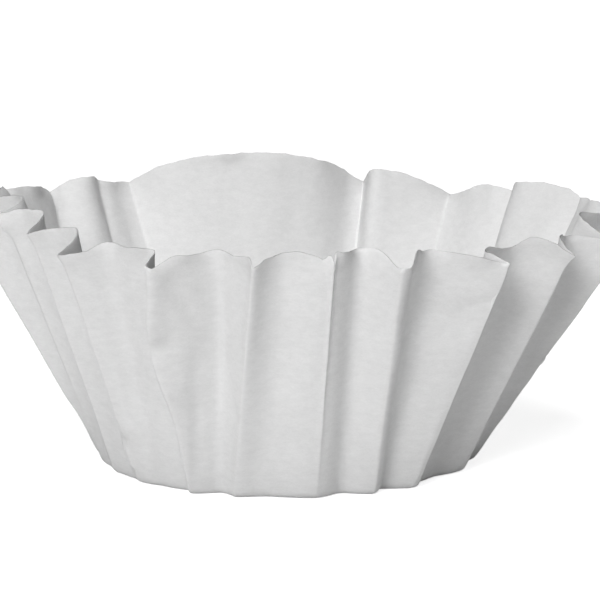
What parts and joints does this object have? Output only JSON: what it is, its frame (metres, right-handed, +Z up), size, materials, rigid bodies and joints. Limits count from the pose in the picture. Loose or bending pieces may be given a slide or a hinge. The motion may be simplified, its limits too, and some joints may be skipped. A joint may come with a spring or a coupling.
{
  "type": "paper coffee filter",
  "caption": "Basket-style coffee filter: a thin white crepe paper cup with a flat round bottom and a flaring wall of irregular fluted pleats.",
  "frame": {"origin": "middle of the flat bottom's underside, where the filter stands", "axes": "+Z straight up out of the open top, -Y towards the side that faces the camera, +X to that camera's right"},
  "size_m": [0.1508, 0.1495, 0.0614],
  "materials": {
    "filter_paper": "matte white crepe paper"
  },
  "bodies": {
    "root": {"paper_filter": "filter_paper"}
  },
  "joints": []
}
